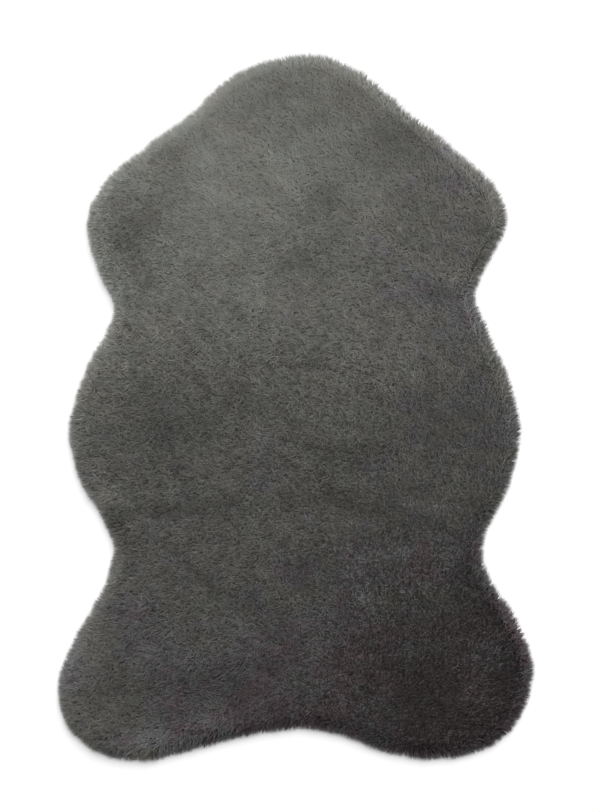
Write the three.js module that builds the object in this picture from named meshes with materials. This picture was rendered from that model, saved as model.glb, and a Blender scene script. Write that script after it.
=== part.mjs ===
// A sheepskin-shaped shag rug, about 60 by 90 cm, lying flat.
// It is one cut panel of dense faux fur: the pile and the cloth that it is knitted into are one solid.
// Millimetres, +Z up. The crown of the skin points along +Y, and the feet along -Y.
// The origin is on the floor, at the middle of the rug's bounding box.
import * as THREE from "three";

// Driving dimensions
const HALF_WIDTH = 298; // to the middle of the fuzz at the pile's edge, at the legs
const HALF_LENGTH = 443; // likewise, from the middle out to the crown and the feet
const PILE_TOP = 23; // height of the pile where it is neither swollen nor parted
const EDGE_INSET = 4; // from the middle of the fuzz in to the dense rim that the locks grow from
const LOCKS = 300; // locks of pile round the rim
const LOCK_REACH = 7.5; // how far a lock stands out from the dense rim
const CROWN_ROW = 34; // cells in a row of the top, from flank to flank
const ROWS = 41; // rows of the top, from the shoulders to the legs

// The pile's edge, clockwise from the crown, as shares of half the width and half the length
const OUTLINE = [
  { at: "crown", x: 0.02, y: 1.005 },
  { at: "crown_right", x: 0.24, y: 0.97 },
  { at: "temple_right", x: 0.485, y: 0.84 },
  { at: "shoulder_right_slope", x: 0.695, y: 0.725 },
  { at: "shoulder_right", x: 0.875, y: 0.605 },
  { at: "shoulder_right_tip", x: 0.89, y: 0.52 },
  { at: "shoulder_right_under", x: 0.825, y: 0.43 },
  { at: "waist_right", x: 0.755, y: 0.32 },
  { at: "flank_right", x: 0.825, y: 0.205 },
  { at: "hip_right_top", x: 0.895, y: 0.09 },
  { at: "hip_right", x: 0.95, y: -0.06 },
  { at: "hip_right_under", x: 0.895, y: -0.235 },
  { at: "groin_right_top", x: 0.81, y: -0.35 },
  { at: "groin_right", x: 0.795, y: -0.42 },
  { at: "groin_right_under", x: 0.835, y: -0.505 },
  { at: "thigh_right", x: 0.935, y: -0.6 },
  { at: "leg_right", x: 1.005, y: -0.75 },
  { at: "leg_right_under", x: 0.95, y: -0.885 },
  { at: "heel_right", x: 0.82, y: -0.965 },
  { at: "foot_right", x: 0.585, y: -1.0 },
  { at: "instep_right", x: 0.35, y: -0.975 },
  { at: "tail_right", x: 0.2, y: -0.935 },
  { at: "tail", x: 0.015, y: -0.915 },
  { at: "tail_left", x: -0.23, y: -0.94 },
  { at: "instep_left", x: -0.445, y: -0.975 },
  { at: "foot_left", x: -0.645, y: -1.005 },
  { at: "heel_left", x: -0.86, y: -0.975 },
  { at: "leg_left_under", x: -0.985, y: -0.88 },
  { at: "leg_left", x: -1.0, y: -0.765 },
  { at: "thigh_left", x: -0.925, y: -0.65 },
  { at: "groin_left_under", x: -0.815, y: -0.515 },
  { at: "groin_left", x: -0.77, y: -0.4 },
  { at: "groin_left_top", x: -0.82, y: -0.315 },
  { at: "hip_left_under", x: -0.905, y: -0.215 },
  { at: "hip_left", x: -0.955, y: -0.065 },
  { at: "hip_left_top", x: -0.89, y: 0.105 },
  { at: "flank_left", x: -0.795, y: 0.225 },
  { at: "waist_left", x: -0.765, y: 0.285 },
  { at: "shoulder_left_under", x: -0.83, y: 0.385 },
  { at: "shoulder_left_tip", x: -0.88, y: 0.535 },
  { at: "shoulder_left", x: -0.815, y: 0.635 },
  { at: "shoulder_left_slope", x: -0.66, y: 0.73 },
  { at: "temple_left", x: -0.435, y: 0.845 },
  { at: "crown_left", x: -0.235, y: 0.96 },
];

// The rolled edge of the pile, from the floor up: how far in from the rim, how high, and how many points round
const EDGE_RINGS = [
  { inset: 2.5, height: 0, points: LOCKS },
  { inset: 0, height: 6, points: LOCKS },
  { inset: 1.5, height: 11, points: LOCKS },
  { inset: 5.5, height: 16, points: LOCKS },
  { inset: 13, height: 20, points: LOCKS / 2 },
  { inset: 24, height: 22.3, points: LOCKS / 2 },
  { inset: 38, height: PILE_TOP, points: LOCKS / 2 },
];

// Broad soft swells and hollows of the pile: centre, size each way and height
const SWELLS = [
  { x: -55, y: 270, wide: 120, long: 90, height: 2.4 },
  { x: 75, y: 250, wide: 60, long: 60, height: 1.4 },
  { x: 133, y: 325, wide: 45, long: 40, height: -2.4 },
  { x: -212, y: 215, wide: 35, long: 60, height: -2.0 },
  { x: -150, y: 100, wide: 90, long: 35, height: 2.0 },
  { x: 150, y: 70, wide: 100, long: 40, height: 1.8 },
  { x: -130, y: -45, wide: 110, long: 50, height: -1.8 },
  { x: 170, y: -60, wide: 120, long: 50, height: -1.6 },
  { x: -110, y: -205, wide: 110, long: 60, height: 2.0 },
  { x: 50, y: -250, wide: 60, long: 60, height: 1.6 },
  { x: -205, y: -350, wide: 60, long: 40, height: -1.8 },
  { x: 200, y: -330, wide: 90, long: 70, height: -2.2 },
];
// Partings, where the nap falls away to both sides: middle, length, bearing from +X, width and depth
const PARTINGS = [
  { x: -92, y: -111, length: 300, bearing: 5, width: 14, depth: 3.6 },
  { x: 138, y: -120, length: 170, bearing: -15, width: 15, depth: 2.6 },
  { x: -180, y: 136, length: 120, bearing: -12, width: 14, depth: 2.2 },
  { x: 57, y: 205, length: 85, bearing: 20, width: 12, depth: 2.6 },
  { x: -57, y: 46, length: 55, bearing: 2, width: 12, depth: 2.8 },
  { x: 34, y: 50, length: 60, bearing: -6, width: 12, depth: 3.0 },
  { x: 138, y: 13, length: 140, bearing: 3, width: 15, depth: 1.6 },
  { x: -64, y: -235, length: 180, bearing: -39, width: 15, depth: 2.4 },
  { x: -165, y: -345, length: 110, bearing: 3, width: 14, depth: 2.2 },
];
// The unevenness of the tufts, as waves that cross: length from crest to crest, bearing and height
const TUFT_WAVES = [
  { length: 83, bearing: 28, height: 0.6 },
  { length: 61, bearing: 100, height: 0.7 },
  { length: 47, bearing: 152, height: 0.5 },
];

const radians = THREE.MathUtils.degToRad;

// An even scatter from -1 to 1, the same for the same lock and trait
function scatter(index, trait) {
  const wave = Math.sin(index * 127.1 + trait * 311.7) * 43758.5453;
  return 2 * (wave - Math.floor(wave)) - 1;
}

// How much the top of the pile rises above its mean height, or falls below it, at a place
function relief(x, y) {
  let rise = 0;
  for (const swell of SWELLS) {
    const away = ((x - swell.x) / swell.wide) ** 2 + ((y - swell.y) / swell.long) ** 2;
    rise += swell.height * Math.exp(-away);
  }
  for (const parting of PARTINGS) {
    const turn = radians(parting.bearing);
    const along = (x - parting.x) * Math.cos(turn) + (y - parting.y) * Math.sin(turn);
    const across = (y - parting.y) * Math.cos(turn) - (x - parting.x) * Math.sin(turn);
    const past = Math.max(0, Math.abs(along) - parting.length / 2);
    rise -= parting.depth * Math.exp(-((past ** 2 + across ** 2) / parting.width ** 2));
  }
  for (const wave of TUFT_WAVES) {
    const turn = radians(wave.bearing);
    const along = x * Math.cos(turn) + y * Math.sin(turn);
    rise += wave.height * Math.sin((2 * Math.PI * along) / wave.length);
  }
  return rise;
}

// The dense rim of the pile, as evenly spaced points that run clockwise, each with its outward direction
function denseRim() {
  const corners = OUTLINE.map((p) => new THREE.Vector3(p.x * HALF_WIDTH, p.y * HALF_LENGTH, 0));
  const edge = new THREE.CatmullRomCurve3(corners, true, "centripetal");
  edge.arcLengthDivisions = 4000;
  const spots = edge.getSpacedPoints(LOCKS).slice(0, LOCKS);
  return spots.map((spot, i) => {
    const before = spots[(i + LOCKS - 2) % LOCKS];
    const after = spots[(i + 2) % LOCKS];
    const along = after.clone().sub(before).normalize();
    const outward = new THREE.Vector3(-along.y, along.x, 0);
    return { spot: spot.clone().addScaledVector(outward, -EDGE_INSET), outward, along };
  });
}

// Every stride-th point of the rim, moved in and lifted to a ring of the rolled edge
function edgeRing(rim, ring) {
  const stride = rim.length / ring.points;
  const raised = ring.height / PILE_TOP;
  return rim.filter((_, i) => i % stride === 0).map(({ spot, outward }) => {
    const point = spot.clone().addScaledVector(outward, -ring.inset);
    point.z = ring.height + relief(point.x, point.y) * raised ** 3;
    return point;
  });
}

// Gathers corners and triangles into one closed geometry
class Skin {
  constructor() {
    this.corners = [];
    this.faces = [];
  }
  add(points) {
    const first = this.corners.length;
    this.corners.push(...points);
    return points.map((_, i) => first + i);
  }
  face(a, b, c) {
    this.faces.push(a, b, c);
  }
  quad(a, b, c, d) {
    this.face(a, b, c);
    this.face(a, c, d);
  }
  // Joins a ring to the next one in, which has as many points or half as many
  join(outer, inner) {
    const step = outer.length / inner.length;
    inner.forEach((here, i) => {
      const next = inner[(i + 1) % inner.length];
      const a = outer[i * step];
      const b = outer[(i * step + 1) % outer.length];
      if (step === 1) {
        this.quad(a, here, next, b);
        return;
      }
      const c = outer[(i * step + 2) % outer.length];
      this.face(a, here, b);
      this.face(b, here, next);
      this.face(b, next, c);
    });
  }
  geometry() {
    const places = this.corners.flatMap((p) => [p.x, p.y, p.z]);
    const made = new THREE.BufferGeometry();
    made.setAttribute("position", new THREE.Float32BufferAttribute(places, 3));
    made.setIndex(this.faces);
    made.computeVertexNormals();
    return made;
  }
}

// One lock of the rim: it grows from the wall between the floor and the belly of the edge, rests on the floor
// and comes to a point
function addLock(skin, index, place, root) {
  const pitch = skin.corners[root.lowNext].distanceTo(skin.corners[root.low]);
  const middle = new THREE.Vector3();
  for (const corner of [root.low, root.lowNext, root.high, root.highNext]) {
    middle.addScaledVector(skin.corners[corner], 0.25);
  }
  const reach = LOCK_REACH * (1 + 0.3 * scatter(index, 1));
  const tip = middle.clone().addScaledVector(place.outward, reach);
  tip.addScaledVector(place.along, 0.3 * pitch * scatter(index, 2));
  tip.z = 0;
  const waist = middle.clone().lerp(tip, 0.5);
  const halfWidth = (0.33 + 0.04 * scatter(index, 3)) * pitch;
  const [under, over] = [0, 4.6 + 0.6 * scatter(index, 4)];
  const corner = (side, height) => {
    const point = waist.clone().addScaledVector(place.along, side * halfWidth);
    point.z = height;
    return point;
  };
  const [low, lowNext, highNext, high, point] = skin.add([
    corner(-1, under),
    corner(1, under),
    corner(1, over),
    corner(-1, over),
    tip,
  ]);
  skin.quad(root.low, root.high, high, low);
  skin.quad(root.high, root.highNext, highNext, high);
  skin.quad(root.highNext, root.lowNext, lowNext, highNext);
  skin.quad(root.lowNext, root.low, low, lowNext);
  skin.face(low, high, point);
  skin.face(high, highNext, point);
  skin.face(highNext, lowNext, point);
  skin.face(lowNext, low, point);
}

// The top inside the last edge ring, as rows of cells. The rows follow the crown at one end and the feet at the
// other, and their ends keep to the flanks.
function addTop(skin, ring) {
  const start = -CROWN_ROW / 2; // the left shoulder, because the ring starts at the crown
  const station = (i) => ring[(i + ring.length) % ring.length];
  const crown = (column) => station(start + column);
  const feet = (column) => station(start - ROWS - column);
  const left = (row) => station(start - row);
  const right = (row) => station(start + CROWN_ROW + row);
  const blend = (row, column) => {
    const [u, v] = [column / CROWN_ROW, row / ROWS];
    const shares = [
      [crown(column), 1 - v],
      [feet(column), v],
      [left(row), 1 - u],
      [right(row), u],
      [crown(0), -(1 - u) * (1 - v)],
      [crown(CROWN_ROW), -u * (1 - v)],
      [feet(0), -(1 - u) * v],
      [feet(CROWN_ROW), -u * v],
    ];
    const point = new THREE.Vector3();
    for (const [corner, share] of shares) {
      point.addScaledVector(skin.corners[corner], share);
    }
    point.z = PILE_TOP + relief(point.x, point.y);
    return skin.add([point])[0];
  };
  const corner = (row, column) => {
    if (row === 0) return crown(column);
    if (row === ROWS) return feet(column);
    if (column === 0) return left(row);
    if (column === CROWN_ROW) return right(row);
    return blend(row, column);
  };
  const columns = Array.from({ length: CROWN_ROW + 1 }, (_, column) => column);
  let above = columns.map((column) => corner(0, column));
  for (let row = 1; row <= ROWS; row += 1) {
    const here = columns.map((column) => corner(row, column));
    for (let column = 0; column < CROWN_ROW; column += 1) {
      skin.quad(above[column], here[column], here[column + 1], above[column + 1]);
    }
    above = here;
  }
}

function rugGeometry() {
  const skin = new Skin();
  const rim = denseRim();
  const edges = EDGE_RINGS.map((ring) => skin.add(edgeRing(rim, ring)));

  // The wall under the belly is made of the locks' roots
  const [floor, belly] = edges;
  rim.forEach((place, i) => {
    const next = (i + 1) % rim.length;
    const root = { low: floor[i], lowNext: floor[next], high: belly[i], highNext: belly[next] };
    addLock(skin, i, place, root);
  });

  const rolled = edges.slice(1);
  rolled.slice(1).forEach((inner, i) => skin.join(rolled[i], inner));
  addTop(skin, edges.at(-1));

  // The flat underside
  const [below] = skin.add([new THREE.Vector3(0, 0, 0)]);
  floor.forEach((here, i) => skin.face(here, floor[(i + 1) % floor.length], below));
  return skin.geometry();
}

const pile = new THREE.MeshStandardMaterial({ color: 0x6b6965, roughness: 0.95, metalness: 0 });
const rug = new THREE.Mesh(rugGeometry(), pile);
rug.name = "rug";

// The locks vary, so the rug is set over the origin by its finished box
const box = new THREE.Box3().setFromObject(rug);
rug.position.set(-(box.min.x + box.max.x) / 2, -(box.min.y + box.max.y) / 2, 0);

const shagRug = new THREE.Group();
shagRug.add(rug);

export default shagRug;
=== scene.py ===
# %% [markdown]
# # A grey rug of sheepskin outline
# The rug is one panel of dense grey faux fur, about 60 by 90 cm, cut to the outline of a sheepskin.
# It lies flat and is seen from straight above. Three things make it up: a knitted ground cloth, the dense
# underfur that hides the cloth, and the pile, whose locks lean where a hand has brushed them.
# The CAD solid gives the outline and the height of the pile. This script reads both from it, and dresses
# the solid with those three things.

# %% Load the frame
import math

import bpy
import numpy as np
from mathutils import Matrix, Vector
from mathutils.bvhtree import BVHTree


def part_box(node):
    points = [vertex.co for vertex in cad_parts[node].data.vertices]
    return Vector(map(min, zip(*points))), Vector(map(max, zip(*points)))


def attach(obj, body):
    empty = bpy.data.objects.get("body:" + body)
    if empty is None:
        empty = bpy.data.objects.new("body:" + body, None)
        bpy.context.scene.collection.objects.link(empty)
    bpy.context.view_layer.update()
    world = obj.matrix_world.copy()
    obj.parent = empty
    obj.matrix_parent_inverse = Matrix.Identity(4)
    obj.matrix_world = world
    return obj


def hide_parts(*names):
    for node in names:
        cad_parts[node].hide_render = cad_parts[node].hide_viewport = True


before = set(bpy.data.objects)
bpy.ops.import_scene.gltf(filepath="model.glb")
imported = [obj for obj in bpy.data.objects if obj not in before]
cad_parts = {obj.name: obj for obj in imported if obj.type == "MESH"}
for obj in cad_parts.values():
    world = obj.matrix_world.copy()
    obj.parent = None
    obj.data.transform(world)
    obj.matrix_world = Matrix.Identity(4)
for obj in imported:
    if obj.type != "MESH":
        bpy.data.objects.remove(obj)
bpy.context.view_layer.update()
rug_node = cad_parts["rug"]
MM = 0.001
rng = np.random.default_rng(60)


# %% Helpers for meshes
def deselect_all():
    """Operators act on all that is selected, so each step starts from nothing."""
    if bpy.context.object and bpy.context.object.mode != "OBJECT":
        bpy.ops.object.mode_set(mode="OBJECT")
    bpy.ops.object.select_all(action="DESELECT")


def activate(piece):
    """Makes a piece the only one that operators act on."""
    deselect_all()
    piece.select_set(True)
    bpy.context.view_layer.objects.active = piece


def count_triangles(piece):
    """A face of n corners counts as n - 2 triangles."""
    return sum(len(face.vertices) - 2 for face in piece.data.polygons)


deselect_all()
print("selected after loading and clearing:", len(bpy.context.selected_objects))


# %% Helpers for materials
def linear(hex_colour):
    """An sRGB hex value as the linear colour that a shader wants."""
    parts = [int(hex_colour[i : i + 2], 16) / 255 for i in (1, 3, 5)]
    return [c / 12.92 if c <= 0.04045 else ((c + 0.055) / 1.055) ** 2.4 for c in parts] + [1.0]


def add_node(material, kind, settings=None, **inputs):
    """Adds a node, sets its properties, and fills its inputs with values or links. An input whose name
    isn't unique is given by its number, as i0, i1 and so on."""
    node = material.node_tree.nodes.new(kind)
    for name, value in (settings or {}).items():
        setattr(node, name, value)
    for name, value in inputs.items():
        by_number = name[0] == "i" and name[1:].isdigit()
        socket = node.inputs[int(name[1:])] if by_number else node.inputs[name.replace("_", " ")]
        if isinstance(value, bpy.types.NodeSocket):
            material.node_tree.links.new(value, socket)
        else:
            socket.default_value = value
    return node


def new_material(name):
    """A material with its Principled shader, which is there from the start."""
    material = bpy.data.materials.new(name)
    material.use_nodes = True
    return material, material.node_tree.nodes["Principled BSDF"]


print("mid grey in linear light:", round(linear("#808080")[0], 3))

# %% [markdown]
# ## Camera
# The picture is taken from straight above, with the crown at the top. Its 812 pixels of height take in
# 1.025 m at the height of the rug's rim. A long lens keeps the sides of so flat a thing out of sight.
# The middle of the picture is a little off the middle of the rug, so the camera is moved and not shifted.

# %% Camera
MM_PER_PIXEL = 1.262
PICTURE = (600, 812)
PICTURE_CENTRE = (5.7, 1.9)
LENS = 85
SENSOR = 36
RIM_HEIGHT = 8

view_height = PICTURE[1] * MM_PER_PIXEL * MM
camera_distance = view_height * LENS / SENSOR
camera_data = bpy.data.cameras.new("camera")
camera_data.lens = LENS
camera_data.sensor_fit = "VERTICAL"
camera_data.sensor_height = SENSOR
camera = bpy.data.objects.new("camera", camera_data)
camera.location = (PICTURE_CENTRE[0] * MM, PICTURE_CENTRE[1] * MM, camera_distance + RIM_HEIGHT * MM)
bpy.context.scene.collection.objects.link(camera)
bpy.context.scene.camera = camera
bpy.context.scene.view_settings.view_transform = "Standard"
print("camera", round(camera_distance, 3), "m above the rim, taking in", round(view_height, 3), "m")

# %% [markdown]
# ## Floor
# A plain white floor, as in a studio. A plane that is much larger than the view is enough, a hair below the
# rug so that no two faces share a place. It isn't part of the rug.

# %% Floor
FLOOR_SIZE = 12
FLOOR_DROP = 0.2

deselect_all()
bpy.ops.mesh.primitive_plane_add(size=FLOOR_SIZE, location=(0, 0, -FLOOR_DROP * MM))
floor = bpy.context.object
floor.name = "floor"
paint, shader = new_material("matt_white_paint")
shader.inputs["Base Color"].default_value = linear("#fafafa")
shader.inputs["Roughness"].default_value = 0.9
shader.inputs["Specular IOR Level"].default_value = 0.1
floor.data.materials.append(paint)
print("floor", FLOOR_SIZE, "m square")

# %% [markdown]
# ## Light
# The rug's own light is a large soft window from the upper left, with a second lamp higher up the picture
# and a weak reflector at the right. It makes hair that lies flat bright and hair that stands up dark.
# The floor is white all over, with a thin soft shadow below and to the left of the rug. One lamp can't
# do both, so each lamp lights only its own collection: three for the rug, and a wide one for the floor.

# %% Light
LIGHTS = [
    {"name": "window", "kind": "AREA", "for": "rug", "at": (-0.74, 0.50, 0.80), "size": 0.9, "power": 5.35},
    {"name": "lamp", "kind": "AREA", "for": "rug", "at": (-0.42, 0.87, 0.80), "size": 0.9, "power": 5.65},
    {"name": "reflector", "kind": "AREA", "for": "rug", "at": (1.1, 0.6, 0.4), "size": 0.6, "power": 1.6},
    {"name": "ceiling", "kind": "SUN", "for": "floor", "at": (0.36, 1.35, 2), "size": 0.9, "power": 3.75},
]
FILL_LIGHT = 0.12
lit = {}
for name in ("rug", "floor"):
    lit[name] = bpy.data.collections.new("lit_" + name)
    bpy.context.scene.collection.children.link(lit[name])
lit["floor"].objects.link(floor)
for row in LIGHTS:
    lamp = bpy.data.lights.new(row["name"], row["kind"])
    lamp.energy = row["power"]
    if row["kind"] == "SUN":
        lamp.angle = row["size"]
    else:
        lamp.size = row["size"]
    light = bpy.data.objects.new(row["name"], lamp)
    light.location = row["at"]
    light.rotation_euler = (-Vector(row["at"])).to_track_quat("-Z", "Y").to_euler()
    light.visible_camera = False
    light.light_linking.receiver_collection = lit[row["for"]]
    bpy.context.scene.collection.objects.link(light)

world = bpy.data.worlds.new("studio")
world.use_nodes = True
world.node_tree.nodes["Background"].inputs["Color"].default_value = (1, 1, 1, 1)
world.node_tree.nodes["Background"].inputs["Strength"].default_value = FILL_LIGHT
bpy.context.scene.world = world
print("lamps:", [(row["name"], row["for"]) for row in LIGHTS])

# %% [markdown]
# ## The rug's outline, read from the CAD solid
# The edge of the dense pile is the solid's edge at half its height. The outline could be typed in again as
# points, but a copy of the solid cut by a plane gives the very same line, also when the solid changes.
# The cut is then stepped off evenly, and each step gets the direction that points out of the rug.

# %% Cut the solid
CUT_HEIGHT = 11
MERGE_WITHIN = 0.01


def copy_of_rug(name):
    """The CAD solid's mesh as a new object in edit mode, with its loose triangles joined up."""
    piece = bpy.data.objects.new(name, rug_node.data.copy())
    bpy.context.scene.collection.objects.link(piece)
    piece.data.materials.clear()
    activate(piece)
    bpy.ops.object.mode_set(mode="EDIT")
    bpy.ops.mesh.select_all(action="SELECT")
    bpy.ops.mesh.remove_doubles(threshold=MERGE_WITHIN * MM)
    return piece


cut = copy_of_rug("cut")
bpy.ops.mesh.bisect(
    plane_co=(0, 0, CUT_HEIGHT * MM), plane_no=(0, 0, 1), clear_inner=True, clear_outer=True
)
bpy.ops.object.mode_set(mode="OBJECT")
bpy.ops.object.convert(target="CURVE")
spline = max(cut.data.splines, key=lambda s: len(s.points))
corners = np.array([point.co[:2] for point in spline.points])
bpy.data.objects.remove(cut)
print("the cut has", len(corners), "corners")

# %% Step round the outline
OUTLINE_STEP = 2.0
NORMAL_REACH = 3


def evenly(loop, step):
    """Points at even steps round a closed loop."""
    closed = np.vstack([loop, loop[:1]])
    walked = np.concatenate([[0], np.cumsum(np.linalg.norm(np.diff(closed, axis=0), axis=1))])
    stops = np.linspace(0, walked[-1], int(walked[-1] / step), endpoint=False)
    return np.stack([np.interp(stops, walked, closed[:, i]) for i in (0, 1)], axis=1)


def normals_of(loop, reach):
    """The outward direction at each point of an evenly stepped loop."""
    ahead = np.roll(loop, -reach, axis=0) - np.roll(loop, reach, axis=0)
    across = np.stack([ahead[:, 1], -ahead[:, 0]], axis=1)
    following = np.roll(loop, -1, axis=0)
    turning = (loop[:, 0] * following[:, 1] - loop[:, 1] * following[:, 0]).sum()
    return across * np.sign(turning) / np.linalg.norm(across, axis=1)[:, None]


rim = evenly(corners, OUTLINE_STEP * MM)
outward = normals_of(rim, NORMAL_REACH)
print("rim points", len(rim), "about", round(len(rim) * OUTLINE_STEP), "mm round")

# %% Depth inside the rim
SPOTS_AT_ONCE = 4000


def depth_inside(spots):
    """How far each spot lies inside the rim, and which rim point is nearest."""
    depth = np.empty(len(spots))
    nearest = np.empty(len(spots), int)
    loop = rim.astype(np.float32)
    for start in range(0, len(spots), SPOTS_AT_ONCE):
        stop = start + SPOTS_AT_ONCE
        some = spots[start:stop].astype(np.float32)
        gaps = (some[:, :1] - loop[None, :, 0]) ** 2 + (some[:, 1:] - loop[None, :, 1]) ** 2
        nearest[start:stop] = gaps.argmin(axis=1)
        depth[start:stop] = np.sqrt(gaps.min(axis=1))
    side = ((spots - rim[nearest]) * outward[nearest]).sum(axis=1)
    return np.where(side > 0, -depth, depth), nearest


print("the middle lies", round(float(depth_inside(np.zeros((1, 2)))[0][0]) / MM), "mm inside the rim")

# %% [markdown]
# ## The height of the pile
# The pile's top isn't quite level: it swells and dips by a few millimetres, as a rug's does that was rolled
# up. Rays shot down on the solid, 4 mm apart, measure it once. A spot between rays takes its height from
# the four round it, which is much quicker than a ray for each of the hundred thousand locks.

# %% Height
HEIGHT_CELL = 4
MARGIN = 0.01
solid = BVHTree.FromPolygons(
    [v.co[:] for v in rug_node.data.vertices],
    [p.vertices[:] for p in rug_node.data.polygons],
)
low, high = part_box("rug")
height_x = np.arange(low.x - MARGIN, high.x + MARGIN, HEIGHT_CELL * MM)
height_y = np.arange(low.y - MARGIN, high.y + MARGIN, HEIGHT_CELL * MM)
height_map = np.zeros((len(height_y), len(height_x)))
for row, y in enumerate(height_y):
    for column, x in enumerate(height_x):
        hit = solid.ray_cast(Vector((x, y, 1)), Vector((0, 0, -1)))[0]
        height_map[row, column] = hit.z if hit else 0.0


def pile_top(spots):
    """Height of the pile's top over each spot, between the four nearest rays."""
    across = (spots[:, 0] - height_x[0]) / (HEIGHT_CELL * MM)
    along = (spots[:, 1] - height_y[0]) / (HEIGHT_CELL * MM)
    column = np.clip(across.astype(int), 0, len(height_x) - 2)
    row = np.clip(along.astype(int), 0, len(height_y) - 2)
    u, v = across - column, along - row
    lower = height_map[row, column] * (1 - u) + height_map[row, column + 1] * u
    upper = height_map[row + 1, column] * (1 - u) + height_map[row + 1, column + 1] * u
    return lower * (1 - v) + upper * v


print("rays", height_map.size, "highest", round(height_map.max() / MM, 1), "mm")


# %% Panels from the outline
PANEL_STEP = 4


def panel(name, inset, bottom, top):
    """A flat slab cut to the rug's outline, inset from the rim, between two heights in millimetres."""
    loop = evenly(rim - outward * inset * MM, PANEL_STEP * MM)
    mesh = bpy.data.meshes.new(name)
    mesh.from_pydata([(x, y, bottom * MM) for x, y in loop], [], [tuple(range(len(loop)))])
    piece = bpy.data.objects.new(name, mesh)
    bpy.context.scene.collection.objects.link(piece)
    activate(piece)
    bpy.ops.object.mode_set(mode="EDIT")
    bpy.ops.mesh.select_all(action="SELECT")
    bpy.ops.mesh.extrude_region_move(TRANSFORM_OT_translate={"value": (0, 0, (top - bottom) * MM)})
    bpy.ops.mesh.select_all(action="SELECT")
    bpy.ops.mesh.normals_make_consistent(inside=False)
    bpy.ops.object.mode_set(mode="OBJECT")
    return piece


print("panels have", len(evenly(rim, PANEL_STEP * MM)), "corners round the rim")

# %% [markdown]
# ## Ground cloth
# Faux fur is knitted: a loop of yarn holds each tuft, and from below only the knit shows, a pale grey cloth
# of fine stitches in upright columns. It is cut to the same outline as the pile, a millimetre shorter.
# A flat face filled from the outline and extruded by its thickness makes it, as the real one is cut from a
# flat sheet.

# %% Ground cloth
CLOTH_INSET = 1.0
CLOTH_BOTTOM = 0.2
CLOTH_TOP = 1.8

cloth = panel("ground_cloth", CLOTH_INSET, CLOTH_BOTTOM, CLOTH_TOP)
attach(cloth, "root")
lit["rug"].objects.link(cloth)
print("ground cloth", count_triangles(cloth), "triangles")

# %% [markdown]
# ## Knitted polyester
# The cloth is knitted from dull polyester yarn and coated on the back to hold the tufts. The eye gets
# a matt, pale grey face with columns of stitches, a little darker between them, and faint blots where
# the coating soaked in. Two wave patterns, one across and one along, multiplied together give the stitches.
# A real stitch is about 1.5 mm wide, too fine to show here, so it is drawn 4 mm wide and 3 mm high.

# %% Knit
STITCH = (4.0, 3.0)
WAVE_LENGTH = math.tau / 20
COATING_BLOT = 30
COATING_SHARE = 0.35

knit, shader = new_material("knitted_polyester")
place = add_node(knit, "ShaderNodeTexCoord")
columns = add_node(
    knit,
    "ShaderNodeTexWave",
    {"wave_type": "BANDS", "bands_direction": "X"},
    Vector=place.outputs["Object"],
    Scale=WAVE_LENGTH / (STITCH[0] * MM),
)
courses = add_node(
    knit,
    "ShaderNodeTexWave",
    {"wave_type": "BANDS", "bands_direction": "Y"},
    Vector=place.outputs["Object"],
    Scale=WAVE_LENGTH / (STITCH[1] * MM),
)
stitches = add_node(
    knit, "ShaderNodeMath", {"operation": "MULTIPLY"}, i0=columns.outputs["Fac"], i1=courses.outputs["Fac"]
)
coating = add_node(
    knit, "ShaderNodeTexNoise", Vector=place.outputs["Object"], Scale=1 / (COATING_BLOT * MM), Detail=3.0
)
yarn = add_node(
    knit,
    "ShaderNodeMix",
    {"data_type": "RGBA"},
    Factor=stitches.outputs[0],
    i6=linear("#76736c"),
    i7=linear("#96938b"),
)
soaked = add_node(
    knit,
    "ShaderNodeMapRange",
    Value=coating.outputs["Fac"],
    From_Min=0.3,
    From_Max=0.7,
    To_Min=0.4,
    To_Max=0.6,
)
stained = add_node(
    knit,
    "ShaderNodeMix",
    {"data_type": "RGBA", "blend_type": "OVERLAY"},
    i0=COATING_SHARE,
    i6=yarn.outputs[2],
    i7=soaked.outputs["Result"],
)
dullness = add_node(
    knit,
    "ShaderNodeMapRange",
    Value=coating.outputs["Fac"],
    From_Min=0.3,
    From_Max=0.7,
    To_Min=0.8,
    To_Max=0.95,
)
relief = add_node(knit, "ShaderNodeBump", Height=stitches.outputs[0], Strength=0.6, Distance=0.4 * MM)
knit.node_tree.links.new(stained.outputs[2], shader.inputs["Base Color"])
knit.node_tree.links.new(dullness.outputs["Result"], shader.inputs["Roughness"])
knit.node_tree.links.new(relief.outputs["Normal"], shader.inputs["Normal"])
shader.inputs["Specular IOR Level"].default_value = 0.2
cloth.data.materials.append(knit)
print("knit nodes", len(knit.node_tree.nodes))

# %% [markdown]
# ## Underfur
# Under the long fibres a plush pile is a dense mat of short ones, so thick that the cloth never shows.
# Modelled fibre by fibre it would need millions, so it is one closed body below the tips: a slab cut to the
# outline, remeshed into even cells, whose top then follows the pile's top 3.6 mm lower down and rolls over
# at the rim. The locks root in it, and the dark between them is this mat in their shade, with painted shade
# in its dark colour too.

# %% Underfur
BED_INSET = 5.5
BED_SLACK = 0.5
ROLL_INSET = 13.0
BED_BOTTOM = 2.0
BED_BLANK = 14
BED_CELL = 5
UPPER_FACE = 8
PILE_DEPTH = 3.6


def bed_top(spots, depth):
    """Height where the fibres leave the underfur: under the pile's top, and rolled down at the rim."""
    roll = np.clip((ROLL_INSET - depth / MM) / (ROLL_INSET - BED_INSET), 0, 1)
    return BED_BOTTOM * MM + (pile_top(spots) - (PILE_DEPTH + BED_BOTTOM) * MM) * np.sqrt(1 - roll**2)


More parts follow.
